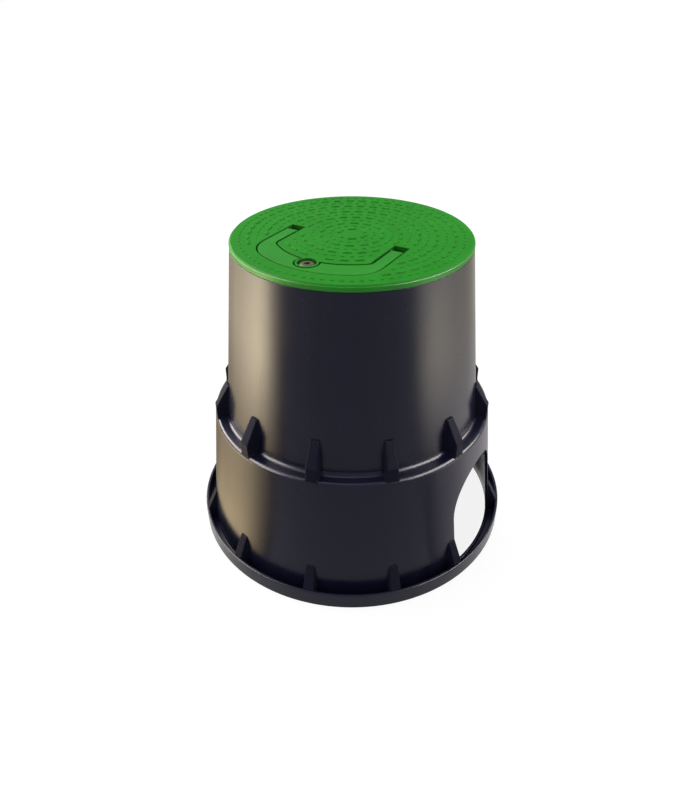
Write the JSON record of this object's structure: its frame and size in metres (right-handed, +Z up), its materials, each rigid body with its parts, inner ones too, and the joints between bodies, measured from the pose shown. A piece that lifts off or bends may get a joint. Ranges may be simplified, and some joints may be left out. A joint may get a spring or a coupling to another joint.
{
  "type": "irrigation valve box",
  "caption": "Round tapered valve box with a flanged skirt, two arched pipe openings, and a lift-off lid with a folding handle and a turning latch.",
  "frame": {"origin": "centre of the flange's underside, on the box's axis", "axes": "+Z up along the box's axis; the pipe openings face +X and -X; the bolt and the handle's front are towards -Y"},
  "size_m": [0.33, 0.33, 0.31],
  "materials": {
    "black_body": "semi-gloss moulded",
    "green_lid": "satin moulded",
    "green_handle": "satin moulded",
    "zinc_steel": "zinc plated"
  },
  "bodies": {
    "box": {"body": "black_body"},
    "lid": {"lid": "green_lid"},
    "handle": {"handle": "green_handle"},
    "lock": {"lock_bolt": "zinc_steel", "lock_washer": "zinc_steel", "latch_bar": "zinc_steel", "lock_nut": "zinc_steel"}
  },
  "joints": [
    {"name": "lid_lift", "type": "slide", "parent": "box", "child": "lid", "axis": [0, 0, 1], "range_m": [0, 0.12]},
    {"name": "handle_fold", "type": "hinge", "parent": "lid", "child": "handle", "pos_m": [0, -0.017, 0.3062], "axis": [-1, 0, 0], "range_deg": [0, 135]},
    {"name": "lock_turn", "type": "hinge", "parent": "lid", "child": "lock", "pos_m": [0, -0.074, 0.2922], "axis": [0, 0, -1], "range_deg": [0, 90]}
  ]
}
